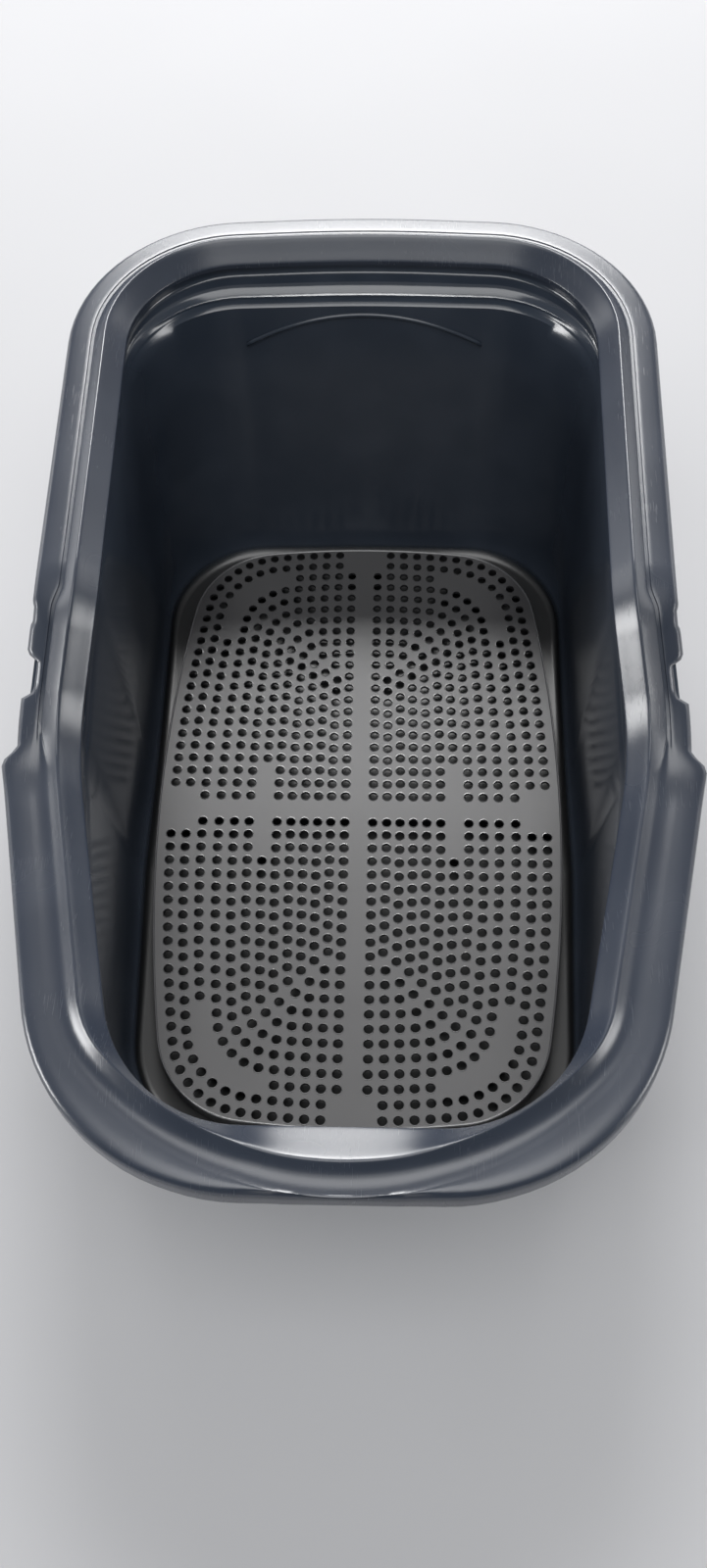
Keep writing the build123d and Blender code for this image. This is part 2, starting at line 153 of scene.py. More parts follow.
class Station:
    """A place on an outline: out points away from the box, up stands square to the path."""

    def __init__(self, place, along):
        self.place = place
        self.out = Vector((-along.y, along.x, 0)).normalized()
        self.up = along.cross(self.out).normalized()

    def at(self, out, up=0.0):
        return self.place + self.out * out + self.up * up

    def mirrored(self):
        other = Station.__new__(Station)
        flip = Vector((-1, 1, 1))
        other.place, other.out, other.up = self.place * flip, self.out * flip, self.up * flip
        return other


def closed(half):
    stations = [Station(*spot) for spot in half]
    return stations + [s.mirrored() for s in reversed(stations[1:-1])]


# where each straight stretch gets points: back, side, slope, entry side, entry
LINES = [steps(8), steps(24), steps(12), steps(28), steps(12)]


def crossing(place, out, line):
    """How far from place, going out, the line is met."""
    for a, b in zip(line, line[1:]):
        d = b - a
        det = d.x * out.y - d.y * out.x
        if abs(det) < 1e-9:
            continue
        gap = a - place
        share = (out.x * gap.y - out.y * gap.x) / det
        reach = (d.x * gap.y - d.y * gap.x) / det
        if -1e-6 <= share <= 1 + 1e-6 and reach > 0:
            return reach
    return None


def entry_crest():
    """The crest round the entry: beside the side line, through a bend, then an arc."""
    a, b = Vector((*RIM_HALF[3][:2], 0)), Vector((*RIM_HALF[4][:2], 0))
    along = (b - a).normalized()
    out = Vector((-along.y, along.x, 0))
    start = a + out * CREST_T - along * 60
    centre = Vector((0, ENTRY_CREST_Y, 0))
    # the bend's middle is as far inside the side line as it is inside the arc
    base = start - out * CREST_BEND_R - centre
    half = base.dot(along)
    root = half * half - base.length_squared + (ENTRY_CREST_R - CREST_BEND_R) ** 2
    middle = centre + base + along * (root ** 0.5 - half)
    spoke = (middle - centre).normalized()
    turn = out.angle(spoke)
    side = (spoke - out * cos(turn)).normalized()
    line = [start]
    line += [middle + (out * cos(f * turn) + side * sin(f * turn)) * CREST_BEND_R for f in steps(16)]
    rest = spoke.angle(Vector((0, -1, 0)))
    down = (Vector((0, -1, 0)) - spoke * cos(rest)).normalized()
    line += [centre + (spoke * cos(f * rest) + down * sin(f * rest)) * ENTRY_CREST_R
             for f in [i / 40 for i in range(1, 48)]]
    return line


def apron_line():
    spots = [Vector((*p, 0)) for p in APRON]
    line = [spots[0]]
    for i, radius in enumerate(APRON_BENDS, 1):
        line += [p for p, _ in bend(spots[i - 1], spots[i], spots[i + 1], radius, steps(24))]
    last, end = line[-1], spots[-1]
    middle = last.lerp(end, (ENTRY_EDGE - last.y) / (end.y - last.y))
    return line + [middle, Vector((-middle.x, ENTRY_EDGE, 0))]


def smooth(low, high, value):
    f = min(max((value - low) / (high - low), 0), 1)
    return f * f * (3 - 2 * f)


# ---- mesh helpers ---------------------------------------------------------------------------
def ring_of(bm, places):
    """A closed ring of vertices, one at each place, from a plain circle."""
    ring = bmesh.ops.create_circle(bm, cap_ends=False, segments=len(places), radius=1)["verts"]
    for vert, place in zip(ring, places):
        vert.co = place
    return ring


def grown(bm, ring, places):
    """Extrude a closed ring of vertices and move its new copy to the given places."""
    edges = [bm.edges.get((a, b)) for a, b in zip(ring, ring[1:] + ring[:1])]
    made = set(bmesh.ops.extrude_edge_only(bm, edges=edges)["geom"])
    fresh = [next(e.other_vert(vert) for e in vert.link_edges if e.other_vert(vert) in made) for vert in ring]
    for vert, place in zip(fresh, places):
        vert.co = place
    return fresh


def carried(bm, rings, close):
    """A skin through rings of places. close joins the last ring to the first."""
    first = ring = ring_of(bm, rings[0])
    for places in rings[1:]:
        ring = grown(bm, ring, places)
    if close:
        edges = [bm.edges.get((a, b)) for r in (first, ring) for a, b in zip(r, r[1:] + r[:1])]
        bmesh.ops.bridge_loops(bm, edges=edges)
    return first, ring


def finished(name, bm, body, slot_name, *nodes, sharp=None, flat_sharp=False):
    """Turn a mesh in millimetres into a piece of the object.

    Edges that turn by more than sharp degrees stay crisp, and with flat_sharp so do all round flat tops.
    """
    bmesh.ops.scale(bm, vec=(MM, MM, MM), verts=bm.verts)
    bmesh.ops.recalc_face_normals(bm, faces=bm.faces)
    if sharp is not None:
        for edge in bm.edges:
            level = {abs(face.normal.z) > 0.9999 for face in edge.link_faces}
            edge.smooth = edge.calc_face_angle(0) < radians(sharp) and not (flat_sharp and len(level) == 2)
    for face in bm.faces:
        face.smooth = True
    mesh = bpy.data.meshes.new(name)
    bm.to_mesh(mesh)
    bm.free()
    piece = bpy.data.objects.new(name, mesh)
    bpy.context.scene.collection.objects.link(piece)
    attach(piece, body)
    if nodes:
        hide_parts(*nodes)
    return piece


# ---- guard frame ---------------------------------------------------------------------------
RIM = closed(half_outline(RIM_HALF, RIM_BENDS, LINES))
CREST_LINE, APRON_LINE = entry_crest(), apron_line()


def crest_reach(s):
    """How far out of the rim line the crest stands."""
    if s.place.y > CREST_SWINGS_FROM:
        return CREST_T
    flip = -1 if s.place.x < 0 else 1
    turned = Vector((flip, 1, 1))
    found = crossing(flat(s.place * turned), s.out * turned, CREST_LINE)
    return found if found else CREST_T


def flat(v):
    return Vector((v.x, v.y, 0))


def edge_reach(s):
    """How far out of the rim line the frame's outer edge is, with its step, nicks and windows."""
    y = s.at(FRAME_T).y
    reach = FRAME_T - NICK_T * (smooth(NICK_Y - 5, NICK_Y - 3, y) - smooth(NICK_Y + 3, NICK_Y + 5, y))
    if y < APRON_FROM:
        flip = Vector((-1 if s.place.x < 0 else 1, 1, 1))
        found = crossing(flat(s.place * flip), s.out * flip, APRON_LINE)
        if found:
            reach = max(reach, found)
    return reach


def window_reach(s):
    """The same below the flange, where the clip windows are cut in."""
    y = s.at(FRAME_T).y
    inside = smooth(NOTCH[1] - 0.6, NOTCH[1] + 0.6, y) - smooth(NOTCH[0] - 0.6, NOTCH[0] + 0.6, y)
    return edge_reach(s) + (NOTCH_T - FRAME_T) * inside


# the section outside the crest, as (out, up) from the crest: behind, a slope that ends in a fine
# groove, and round the entry, one wide smooth gutter
GROOVED = [(0, 0), (0.3, -0.05), (0.6, -0.2), (0.9, -0.45), (6.5, -4.75), (6.65, -4.95), (6.75, -5.3),
           (6.9, -5.5), (8.7, -5.5), (8.85, -5.35), (8.95, -5.05), (9.1, -4.9), (10.2, -4.85)]
GUTTER = [(0, 0), (0.5, -0.15), (1.0, -0.55), (1.7, -1.25), (2.8, -2.3), (4.0, -3.35), (5.4, -4.4),
          (6.9, -5.25), (8.6, -5.85), (10.4, -6.15), (12.4, -6.2), (14.4, -6.05), (16.2, -5.75)]
# the flange from there to the edge, as (share of the way, height)
FLAT_FLANGE = [(0.1, 7.08), (0.4, 6.8), (0.7, 6.45), (0.85, 6.15), (0.94, 5.75), (1.0, 5.2)]
ROLLED_FLANGE = [(0.1, 6.35), (0.35, 6.5), (0.6, 6.45), (0.8, 6.1), (0.92, 5.65), (1.0, 5.1)]
GROOVE_FADE = (-76.0, -50.0)
GROOVE_SLIP = 3.0               # down the slope the groove runs this much further out
# the band inside the crest, as shares of its reach and height
BAND = [(0.0, 0.0), (0.02, 0.03), (0.1, 0.115), (0.3, 0.31), (0.5, 0.52), (0.7, 0.73), (0.86, 0.9),
        (0.95, 0.98)]


def frame_section(s):
    """The moulded section at one station, as (out, up) pairs, from the inner edge over the top."""
    crest, edge = crest_reach(s), window_reach(s)
    high = CREST_H + (ENTRY_CREST_H - CREST_H) * smooth(CREST_T + 0.5, CREST_T + 6, crest)
    front = 1 - smooth(*GROOVE_FADE, s.place.y)
    slip = GROOVE_SLIP * smooth(16, 2, s.place.y) * (1 - front)
    drop = (CREST_H - high) * 0.7
    lip = [(0.0, -2.4), (0.0, -0.2)] + [(f * crest, 0.3 + g * (high - 0.3)) for f, g in BAND]
    for k, ((t, h), (u, d)) in enumerate(zip(GROOVED, GUTTER)):
        out = t + (u - t) * front + slip * (k > 3)
        lip.append((crest + out, high + (h + (d - h) * front) * (1 - drop / 12)))
    start = lip[-1][0]
    for (f, h), (g, d) in zip(FLAT_FLANGE, ROLLED_FLANGE):
        share = f + (g - f) * front
        lip.append((start + share * (edge - 2.2 - start), h + (d - h) * front - drop))
    lip += [(edge - 1.2, 4.2 - drop), (edge - 0.5, 2.9 - drop), (edge - 0.15, 1.4 - drop), (edge - 0.05, -2),
            (edge, -SKIRT_DROP)]
    under = [(edge - 2, -SKIRT_DROP), (edge - 2.3, 1.9 - drop), (start, 4.3 - drop),
             (crest + 5.4, 4.6 - drop), (crest + 0.4, high - 2.8), (2.2, -0.6), (2.2, -2.4)]
    return lip + under


def guard_frame():
    bm = bmesh.new()
    sections = [frame_section(s) for s in RIM]
    rings = [[s.at(*section[k]) for s, section in zip(RIM, sections)] for k in range(len(sections[0]))]
    carried(bm, rings, close=True)
    return finished("guard_frame", bm, "frame", "frame_plastic", "rim_frame", sharp=38)


# ---- tub ---------------------------------------------------------------------------------------
def rim_height(y):
    """The rim line's height over a place that far back."""
    half = RIM[:len(RIM) // 2 + 1]
    for a, b in zip(half, half[1:]):
        if a.place.y >= y >= b.place.y:
            return a.place.z + (b.place.z - a.place.z) * (a.place.y - y) / max(a.place.y - b.place.y, 1e-6)
    return BACK_RIM if y > 0 else FRONT_RIM


FOOT_LINE = closed(half_outline(TUB_FOOT, TUB_BENDS, LINES))
HEAD_LINE = closed(half_outline(TUB_HEAD, TUB_BENDS, LINES))


def wall_point(i, grow, height):
    """On the drafted wall at one station, at that height."""
    low, high = FOOT_LINE[i].at(grow), HEAD_LINE[i].at(grow)
    low.z, high.z = FLOOR_TOP, HEAD_Z
    return low.lerp(high, (height - FLOOR_TOP) / (HEAD_Z - FLOOR_TOP))


def wall_ring(grow, share, drop, base=FLOOR_TOP):
    """A ring on the drafted wall, that share of the way up to its edge below the rim line."""
    places = []
    for i in range(len(RIM)):
        height = HEAD_Z
        for _ in range(12):
            height = rim_height(wall_point(i, grow, height).y) - drop
        places.append(wall_point(i, grow, base + (height - base) * share))
    return places


def eased_ring(grow, rise, reach, up):
    """Where the wall turns into the ledge and collar behind, and straight into the flange in front."""
    places = []
    for s, plain in zip(RIM, wall_ring(grow, 1, rise)):
        behind = smooth(*COLLAR_FADE, s.place.y)
        places.append(plain.lerp(s.at(reach, up), behind))
    return places


def tub():
    bm = bmesh.new()
    floor = [[s.at(-30) + Vector((0, 0, FLOOR_TOP)) for s in FOOT_LINE]]
    # the walls rise out of the floor in a long easy curve
    for f in steps(7):
        lean, rise = (1 - f) ** 2 * FOOT_BEND, f ** 2 * FOOT_RISE
        floor.append([wall_point(i, 0, FLOOR_TOP + rise) - flat(s.out) * lean
                      for i, s in enumerate(FOOT_LINE)])
    wall = [wall_ring(0, f, LEDGE_DROP + 9, base=FLOOR_TOP + FOOT_RISE) for f in steps(16)[1:]]
    # the wall flares out into the ledge, which runs back under the frame's inner edge to the collar
    ends = wall_ring(0, 1, LEDGE_DROP), eased_ring(0, LEDGE_DROP, COLLAR_T, -LEDGE_DROP)
    ledge = [[a.lerp(b, share) + Vector((0, 0, lift)) for a, b in zip(*ends)]
             for share, lift in LEDGE_CURVE]
    ledge += [eased_ring(0, LEDGE_DROP - 3, COLLAR_T, -LEDGE_DROP + 3),
              eased_ring(0, -SHOULDER_TOP + 0.6, COLLAR_T, SHOULDER_TOP - 0.6)]
    flange_profile = [(COLLAR_T + 0.6, SHOULDER_TOP), (FLANGE_T - 6, SHOULDER_TOP), (FLANGE_T - 4, SEAT_TOP),
                      (FLANGE_T - 0.4, SEAT_TOP), (FLANGE_T, SEAT_TOP - 0.4), (FLANGE_T, -LIP_DROP),
                      (FLANGE_T - LIP_T, -LIP_DROP), (FLANGE_T - LIP_T, SHOULDER_TOP - WALL)]
    flange = [[s.at(out, up) for s in RIM] for out, up in flange_profile]
    neck = [eased_ring(WALL, -SHOULDER_TOP + WALL, COLLAR_T + WALL, SHOULDER_TOP - WALL),
            eased_ring(WALL, LEDGE_DROP + WALL, COLLAR_T + WALL, -LEDGE_DROP - WALL)]
    outside = [wall_ring(WALL, f, LEDGE_DROP + WALL + 1, base=FLOOR_TOP) for f in (1, 0.75, 0.5, 0.25, 0)]
    base = [[s.at(out) + Vector((0, 0, height)) for s in FOOT_LINE] for out, height in FOOT_RING]
    first, last = carried(bm, floor + wall + ledge + flange + neck + outside + base, close=False)
    bmesh.ops.contextual_create(bm, geom=first)
    bmesh.ops.contextual_create(bm, geom=last)
    return finished("tub_shell", bm, "tub", "tub_plastic", "litter_tub", sharp=38)


def far_wall_bead():
    """A faint arched bead moulded into the high back wall."""
    bm = bmesh.new()
    spots = []
    for f in steps(40):
        x = BEAD_HALF * (2 * f - 1)
        height = BEAD_TOP - BEAD_RISE * (x / BEAD_HALF) ** 2
        back = wall_point(0, 0, height)
        side = wall_point(BEAD_SIDE, 0, height)
        # the wall bows back a little between its corners
        spots.append(Vector((x, back.y + (side.y - back.y) * (x / side.x) ** 2, height)))
    ring = bmesh.ops.create_circle(bm, cap_ends=True, segments=10, radius=1)["verts"]
    for k, vert in enumerate(ring):
        turn = 2 * pi * k / len(ring)
        vert.co = spots[0] + Vector((0, BEAD_R * cos(turn), BEAD_R * sin(turn)))
    for a, b in zip(spots, spots[1:]):
        ring = grown(bm, ring, [v.co + b - a for v in ring])
    bmesh.ops.contextual_create(bm, geom=ring)
    return finished("back_wall_bead", bm, "tub", "tub_plastic")


# ---- sieve tray ------------------------------------------------------------------------------
def pillow(half_x, side_bow, half_y, end_bow, corner):
    """A quarter of a bowed rounded rectangle, from its right side's middle to its far end's middle."""
    side, end = Vector((half_x - side_bow, 0)), Vector((0, half_y - end_bow))
    between = end - side
    a, b = side_bow - corner, end_bow - corner
    share = (a * a - b * b + between.length_squared) / (2 * between.length)
    along = between.normalized()
    middle = side + along * share + Vector((-along.y, along.x)) * (a * a - share * share) ** 0.5
    start, stop = atan2(middle.y - side.y, middle.x - side.x), atan2(middle.y - end.y, middle.x - end.x)
    arcs = ((side, side_bow, 0, start), (middle, corner, start, stop), (end, end_bow, stop, pi / 2))
    line = [Vector((half_x, 0))]
    for centre, radius, first, last in arcs:
        line += [centre + Vector((cos(first + (last - first) * f), sin(first + (last - first) * f))) * radius
                 for f in steps(16)[1:]]
    return line


def spaced(line, first, last):
    """Points one hole spacing apart along a line, from row first to column last."""
    lengths, total = [], 0
    stretch = [p for p in line if p.y > first and p.x > last]
    stretch = [Vector((stretch[0].x, first))] + stretch + [Vector((last, stretch[-1].y))]
    for a, b in zip(stretch, stretch[1:]):
        lengths.append((total, a, b))
        total += (b - a).length
    count = round(total / (SPACING * PITCH))
    spots = []
    for k in range(count + 1):
        reach = total * k / count
        begun, a, b = [x for x in lengths if x[0] <= reach][-1]
        spots.append(a + (b - a).normalized() * (reach - begun))
    return spots


def quarter_spots():
    """Where the holes of the far right quarter are, ring by ring inward, from the tray's middle."""
    spots = []
    for ring, column in enumerate(COLUMNS):
        short = ring < SHORT_RINGS
        first = (FIRST_ROW + SPACING * (STUB_ROWS if ring == STUB_RING else short)) * PITCH
        last = COLUMNS[-2 if short else -1] * PITCH
        row = (LAST_ROW - ROW_STEP * ring) * PITCH
        if ring == len(COLUMNS) - 1:
            count = round((row - first) / (SPACING * PITCH))
            spots += [Vector((last, first + (row - first) * f)) for f in steps(count)]
            continue
        line = pillow(column * PITCH, SIDE_BOW * COLUMNS[0] / column, row, END_BOW, RING_BENDS[ring] * PITCH)
        spots += [p for p in spaced(line, first, last)
                  if ring != BLANK_RING or p.y < BLANK_FROM * PITCH or p.x < BLANK_TO * PITCH]
    return [(p.x, p.y) for p in spots]


def plate_quarter(bm, spots):
    """One quarter of the plate's top, with its holes left open."""
    rim = [(0, 0)] + [tuple(p) for p in pillow(*(size - TRAY_WALL_T for size in PLATE))]
    verts = [bm.verts.new((x, y, SIEVE_TOP)) for x, y in rim]
    edges = [bm.edges.new(pair) for pair in zip(verts, verts[1:] + verts[:1])]
    for x, y in spots:
        made = bmesh.ops.create_circle(bm, cap_ends=False, segments=HOLE_SIDES, radius=HOLE_R + COLLAR_W,
                                       matrix=Matrix.Translation((x, y, SIEVE_TOP)))["verts"]
        edges += [bm.edges.get((a, b)) for a, b in zip(made, made[1:] + made[:1])]
    bmesh.ops.triangle_fill(bm, edges=edges, use_beauty=True, use_dissolve=False)


def tray_wall(bm, ring):
    """The low wall round the plate: over its rounded lip, down outside and back up inside."""
    around = [v.co.copy() for v in ring]
    outs = []
    for before, after in zip(around[-1:] + around[:-1], around[1:] + around[:1]):
        along = (after - before).normalized()
        outs.append(Vector((along.y, -along.x, 0)))
    if outs[0].dot(flat(around[0])) < 0:
        outs = [-o for o in outs]
    edge = bm.verts.layers.float["edge"]
    section = LIP + [(TRAY_WALL_T, TRAY_FOOT), (0, TRAY_FOOT), (0, SIEVE_TOP - SIEVE_T)]
    for k, (out, height) in enumerate(section):
        ring = grown(bm, ring, [flat(p) + o * out + Vector((0, 0, height)) for p, o in zip(around, outs)])
        # the lip's rings are marked for the sieve finish's painted highlight and extra gloss
        for vert in ring:
            vert[edge] = float(k < len(LIP) - 1)


def loop_from(edges):
    """The vertices of one closed loop of edges, in order."""
    ring = [edges[0].verts[0], edges[0].verts[1]]
    left = set(edges[1:])
    while left:
        step = next(e for e in ring[-1].link_edges if e in left)
        left.discard(step)
        ring.append(step.other_vert(ring[-1]))
    return ring[:-1]


def sieve():
    bm = bmesh.new()
    spots = quarter_spots()
    plate_quarter(bm, spots)
    for flip in ((-1, 1, 1), (1, -1, 1)):
        copy = bmesh.ops.duplicate(bm, geom=bm.verts[:] + bm.edges[:] + bm.faces[:])["geom"]
        bmesh.ops.scale(bm, vec=flip, verts=[g for g in copy if isinstance(g, bmesh.types.BMVert)])
    bmesh.ops.remove_doubles(bm, verts=bm.verts, dist=NEAR)
    bmesh.ops.translate(bm, vec=(0, SIEVE_Y, 0), verts=bm.verts)
    centres = kdtree.KDTree(4 * len(spots))
    everywhere = [(sx * x, SIEVE_Y + sy * y, SIEVE_TOP) for x, y in spots for sx in (1, -1) for sy in (1, -1)]
    for k, place in enumerate(everywhere):
        centres.insert(place, k)
    centres.balance()
    open_edges = [e for e in bm.edges if e.is_boundary]
    holes = [e for e in open_edges if centres.find(e.verts[0].co)[2] < HOLE_R + COLLAR_W + NEAR]
    around_holes = set(holes)
    outer = [e for e in open_edges if e not in around_holes]
    under = bmesh.ops.duplicate(bm, geom=bm.faces[:])["geom"]
    lower = [g for g in under if isinstance(g, bmesh.types.BMVert)]
    bmesh.ops.translate(bm, vec=(0, 0, -SIEVE_T), verts=lower)
    # the marked hole rings get the sieve finish's painted highlight and extra gloss
    rise = bm.verts.layers.float.new("edge")
    for radius, height, mark in HOLE_EDGE:
        made = bmesh.ops.extrude_edge_only(bm, edges=holes)["geom"]
        holes = [g for g in made if isinstance(g, bmesh.types.BMEdge) and g.is_boundary]
        for vert in (g for g in made if isinstance(g, bmesh.types.BMVert)):
            middle = centres.find(vert.co)[0]
            out = vert.co - middle
            out.z = 0
            vert.co = middle + out.normalized() * radius + Vector((0, 0, height))
            vert[rise] = mark
    tray_wall(bm, loop_from(outer))
    bmesh.ops.remove_doubles(bm, verts=bm.verts, dist=NEAR)
    return finished("sieve_tray", bm, "sieve", "sieve_plastic", "sieve_wall", "sieve_floor",
                    sharp=50, flat_sharp=True)


# ---- surface finish ------------------------------------------------------------------------------
class Value:
    """A number that varies over a surface; plain arithmetic on it adds the nodes."""

    def __init__(self, paint, out):
        self.paint, self.out = paint, out

    def _with(self, operation, *others):
        return Value(self.paint, self.paint.node("ShaderNodeMath", self, *others, operation=operation))

    def __add__(self, other):
        return self._with("ADD", other)

    def __sub__(self, other):
        return self._with("SUBTRACT", other)

    def __mul__(self, other):
        return self._with("MULTIPLY", other)

    __radd__ = __add__
    __rmul__ = __mul__

    def __rsub__(self, other):
        return self * -1 + other

    def most(self, other):
        return self._with("MAXIMUM", other)

    def ramp(self, low, high, start=0.0, end=1.0):
        """Moves smoothly from start to end as the value goes from low to high."""
        out = self.paint.node("ShaderNodeMapRange", self, low, high, start, end,
                              interpolation_type="SMOOTHSTEP")
        return Value(self.paint, out)


class Paint:
    """One material, built up from nodes around its Principled shader."""

    def __init__(self, name):
        self.material = bpy.data.materials.new(name)
        self.material.use_nodes = True
        self.tree = self.material.node_tree
        self.shader = self.tree.nodes["Principled BSDF"]
        self.place = self.node("ShaderNodeTexCoord", output="Object")

    def node(self, kind, *inputs, output=0, **settings):
        """Add a node, set it up and feed its inputs in order; gives back one output."""
        made = self.tree.nodes.new(kind)
        for key, setting in settings.items():
            setattr(made, key, setting)
        sockets = [s for s in made.inputs if s.enabled]
        for socket, value in zip(sockets, inputs):
            self.feed(socket, value)
        if isinstance(output, str):
            return made.outputs[output]
        return [s for s in made.outputs if s.enabled][output]

    def feed(self, socket, value):
        if value is None:
            return
        if isinstance(value, Value):
            value = value.out
        if isinstance(value, bpy.types.NodeSocket):
            self.tree.links.new(value, socket)
        else:
            socket.default_value = value

    def axis(self, which):
        """Position in millimetres along X, Y or Z."""
        split = self.node("ShaderNodeSeparateXYZ", self.place, output="XYZ"[which])
        return Value(self, split) * 1000

    def noise(self, scale, detail=2.0, rough=0.5, stretch=(1, 1, 1), shift=(0, 0, 0)):
        """A cloud about 1 / scale metres across, from 0 to 1."""
        spot = self.node("ShaderNodeVectorMath", self.place, tuple(scale * s for s in stretch), shift,
                         operation="MULTIPLY_ADD")
        return Value(self, self.node("ShaderNodeTexNoise", spot, None, 1.0, detail, rough, output="Fac"))

    def mix(self, share, a, b):
        """A colour between a and b."""
        made = self.tree.nodes.new("ShaderNodeMix")
        made.data_type = "RGBA"
        for name, value in (("Factor_Float", share), ("A_Color", a), ("B_Color", b)):
            self.feed(next(s for s in made.inputs if s.identifier == name), value)
        return next(s for s in made.outputs if s.identifier == "Result_Color")

    def bump(self, height, depth):
        """Raise the surface by up to depth millimetres."""
        made = self.tree.nodes.new("ShaderNodeBump")
        made.inputs["Distance"].default_value = depth * MM
        self.feed(made.inputs["Height"], height)
        self.feed(self.shader.inputs["Normal"], made.outputs["Normal"])

    def finish(self, **inputs):
        for name, value in inputs.items():
            self.feed(self.shader.inputs[name.replace("_", " ")], value)
        return self.material


def tone(red, green, blue):
    """A colour written 0 to 255 as it appears on a screen."""
    return tuple(((c / 255 + 0.055) / 1.055) ** 2.4 for c in (red, green, blue)) + (1.0,)


def scratches(paint, seed, angle, density=0.66):
    """Fine straight marks running one way: long thin noise, thresholded, in a few patches."""
    turned = paint.node("ShaderNodeVectorRotate", paint.place, None, None, angle, rotation_type="Z_AXIS")
    spot = paint.node("ShaderNodeVectorMath", turned, (700, 16, 60), (seed, seed * 2, 0),
                      operation="MULTIPLY_ADD")
    line = Value(paint, paint.node("ShaderNodeTexNoise", spot, None, 1.0, 1.0, 0.5, output="Fac"))
    where = paint.noise(11, shift=(seed, 0, seed))
    return line.ramp(density, density + 0.04) * where.ramp(0.58, 0.7)


def frame_plastic():
    """Satin slate plastic, finely grained, with light handling marks."""
    paint = Paint("slate satin plastic")
    cloud, grain = paint.noise(9, 3), paint.noise(1500, 2)
    marks = scratches(paint, 3, 0.3).most(scratches(paint, 9, 1.4)).most(scratches(paint, 17, -0.9))
    colour = paint.mix(cloud.ramp(0.35, 0.7), tone(52, 58, 70), tone(57, 63, 75))
    colour = paint.mix(marks * 0.25, colour, tone(110, 114, 122))
    paint.bump(grain + marks * 0.4, 0.02)
    return paint.finish(Base_Color=colour, Roughness=cloud * 0.05 + 0.24 + marks * 0.06, IOR=1.78)


def tub_plastic():
    """Dark plastic, polished on its walls and plain on its floor, with faint wipe marks; the floor is painted
    near black as painted shade under the sieve tray.
    """
    paint = Paint("dark polished plastic")
    cloud = paint.noise(12, 3)
    # painted shade: below 7 mm, blending out by 12 mm, the tub is painted near black and made rougher
    shaded_matte_floor = 1 - paint.axis(2).ramp(7, 12)
    colour = paint.mix(cloud.ramp(0.35, 0.7), tone(54, 61, 72), tone(59, 66, 77))
    colour = paint.mix(shaded_matte_floor, colour, tone(14, 15, 17))
    paint.bump(paint.noise(60, 2), 0.03)
    return paint.finish(Base_Color=colour, Roughness=cloud * 0.04 + 0.16 + shaded_matte_floor * 0.12, IOR=1.78)


def sieve_plastic():
    """Dark grey plastic with a fine satin grain, glossier along its moulded edges, which also carry a painted
    highlight.
    """
    paint = Paint("grey sieve plastic")
    cloud, grain = paint.noise(11, 3), paint.noise(900, 2)
    edge = Value(paint, paint.node("ShaderNodeAttribute", attribute_name="edge", output="Fac"))
    colour = paint.mix(cloud.ramp(0.35, 0.7), tone(46, 45, 47), tone(51, 50, 52))
    # painted highlight: the marked hole rims and tray lip are mixed halfway to a light grey
    colour = paint.mix(edge * 0.5, colour, tone(96, 96, 98))
    paint.bump(grain, 0.02)
    return paint.finish(Base_Color=colour, Roughness=cloud * 0.06 + 0.4 - edge * 0.2, IOR=1.95)


frame_finish, tub_finish, sieve_finish = frame_plastic(), tub_plastic(), sieve_plastic()
for piece, finish in ((guard_frame(), frame_finish), (tub(), tub_finish), (far_wall_bead(), tub_finish),
                      (sieve(), sieve_finish)):
    piece.data.materials.append(finish)
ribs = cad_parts["sieve_ribs"]
ribs.data.materials.clear()
ribs.data.materials.append(sieve_finish)

# ---- floor, light and camera ------------------------------------------------------------------------
bpy.ops.mesh.primitive_plane_add(size=8, location=(0, 0, 0))
floor = bpy.context.object
floor.name = "floor"
ground = Paint("pale floor")
seen = Value(ground, ground.node("ShaderNodeLightPath", output="Is Camera Ray"))
for ray in ("Is Glossy Ray", "Is Transmission Ray"):
    seen = seen.most(Value(ground, ground.node("ShaderNodeLightPath", output=ray)))
ground.feed(ground.shader.inputs["Emission Color"], tone(222, 222, 224))
floor.data.materials.append(ground.finish(
    Base_Color=ground.mix(ground.noise(2), tone(186, 186, 188), tone(190, 190, 192)),
    Roughness=0.85, Specular_IOR_Level=0.2, Emission_Strength=seen * 0.1))


def lamp(name, spot, target, size, power):
    """A soft rectangular light at spot, turned to target, in metres and watts."""
    light = bpy.data.lights.new(name, "AREA")
    light.shape, light.size, light.size_y, light.energy = "RECTANGLE", size[0], size[1], power
    holder = bpy.data.objects.new(name, light)
    bpy.context.scene.collection.objects.link(holder)
    holder.location = spot
    holder.rotation_euler = (Vector(target) - Vector(spot)).to_track_quat("-Z", "Y").to_euler()


lamp("ceiling light", (-0.05, 1.9, 1.85), (0, 0, 0.1), (1.0, 0.85), 43)
lamp("back window", (0, 2.4, 1.05), (0, 0, 0.2), (1.9, 0.9), 30)
lamp("left window", (-2.2, -0.45, 0.5), (0, 0, 0.2), (0.9, 0.7), 22)
lamp("right window", (2.2, -0.45, 0.5), (0, 0, 0.2), (0.9, 0.7), 11)
lamp("left wall glow", (-2.1, 1.1, 0.5), (0, 0, 0.2), (1.2, 0.9), 6)
lamp("right wall glow", (2.1, 1.1, 0.5), (0, 0, 0.2), (1.2, 0.9), 4)
lamp("front light", (0, -1.5, 2.1), (0, 0, 0.1), (1.6, 0.7), 4)
lamp("high front light", (0, -0.45, 2.3), (0, 0.1, 0.1), (1.6, 1.4), 18)


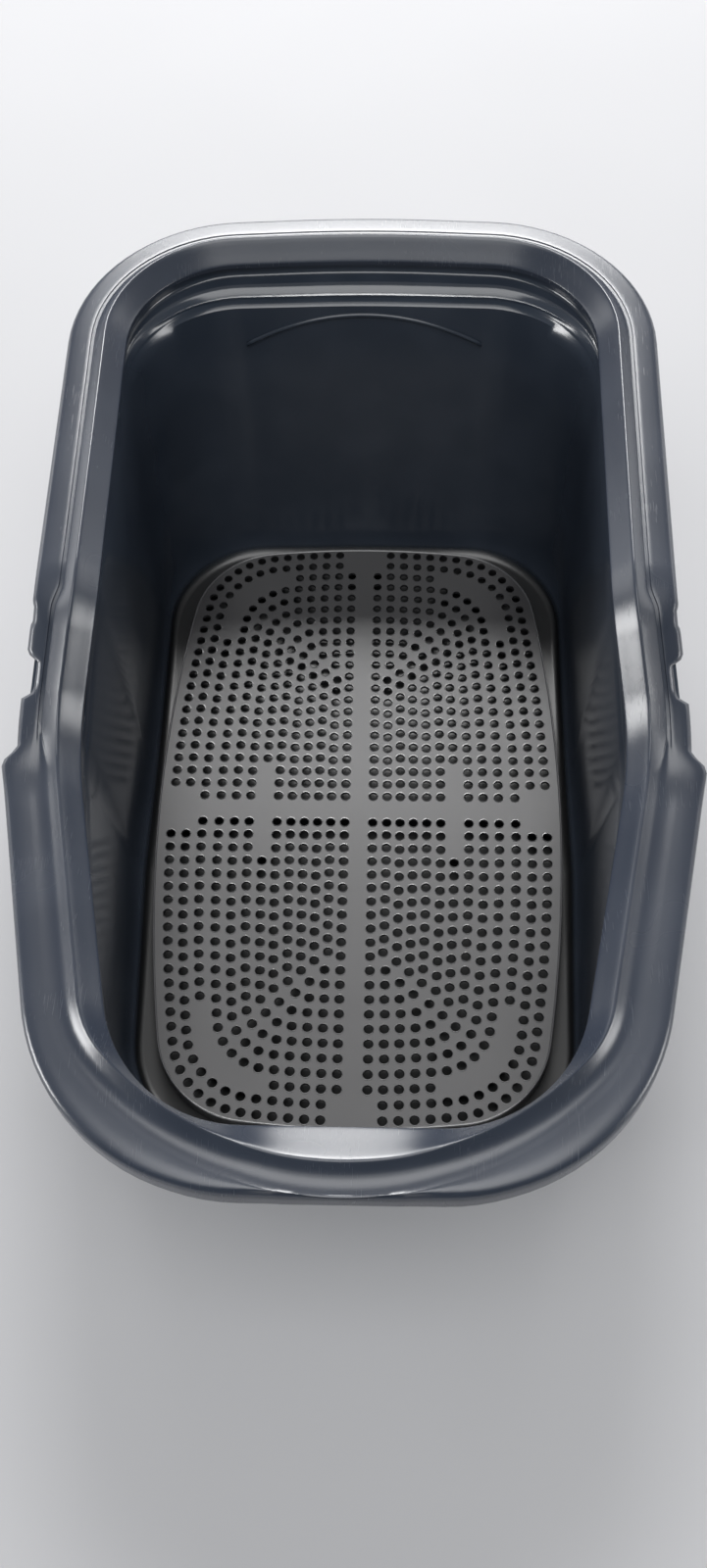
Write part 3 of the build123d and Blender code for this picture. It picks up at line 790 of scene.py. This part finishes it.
def surroundings():
    """A soft backdrop, cool and dim in front of the box and pale behind it."""
    world = bpy.data.worlds.new("soft surroundings")
    world.use_nodes = True
    nodes, links = world.node_tree.nodes, world.node_tree.links
    toward, split = nodes.new("ShaderNodeTexCoord"), nodes.new("ShaderNodeSeparateXYZ")
    share, blend = nodes.new("ShaderNodeMapRange"), nodes.new("ShaderNodeMix")
    path, level = nodes.new("ShaderNodeLightPath"), nodes.new("ShaderNodeMapRange")
    blend.data_type = "RGBA"
    colours = {socket.identifier: socket for socket in list(blend.inputs) + list(blend.outputs)}
    links.new(toward.outputs["Generated"], split.inputs["Vector"])
    links.new(split.outputs["Y"], share.inputs["Value"])
    share.inputs["From Min"].default_value = -0.7
    share.inputs["From Max"].default_value = 0.8
    links.new(share.outputs["Result"], colours["Factor_Float"])
    colours["A_Color"].default_value = tone(112, 124, 136)
    colours["B_Color"].default_value = tone(206, 204, 202)
    links.new(colours["Result_Color"], nodes["Background"].inputs["Color"])
    # it is pale where it is looked at, and half as strong as a light
    links.new(path.outputs["Is Camera Ray"], level.inputs["Value"])
    level.inputs["To Min"].default_value = 0.5
    links.new(level.outputs["Result"], nodes["Background"].inputs["Strength"])
    return world


bpy.context.scene.world = surroundings()
bpy.context.scene.view_settings.view_transform = "Standard"

# the viewing angle: from above the entry, looking down and back
EYE = Vector((27.1, -474.3, 873.6)) * MM
SIGHT = Matrix(((0.99945, 0.0242, -0.023), (0.01, -0.8747, -0.4845), (-0.0319, 0.484, -0.8745)))
SENSOR = 36
FOCAL, PICTURE_HEIGHT = 1520, 1600      # in pixels
camera_data = bpy.data.cameras.new("camera")
camera_data.sensor_fit, camera_data.sensor_width, camera_data.sensor_height = "AUTO", SENSOR, SENSOR
camera_data.lens = SENSOR * FOCAL / PICTURE_HEIGHT
camera = bpy.data.objects.new("camera", camera_data)
turned = SIGHT.transposed() @ Matrix(((1, 0, 0), (0, -1, 0), (0, 0, -1)))
camera.matrix_world = Matrix.Translation(EYE) @ turned.to_4x4()
bpy.context.scene.collection.objects.link(camera)
bpy.context.scene.camera = camera
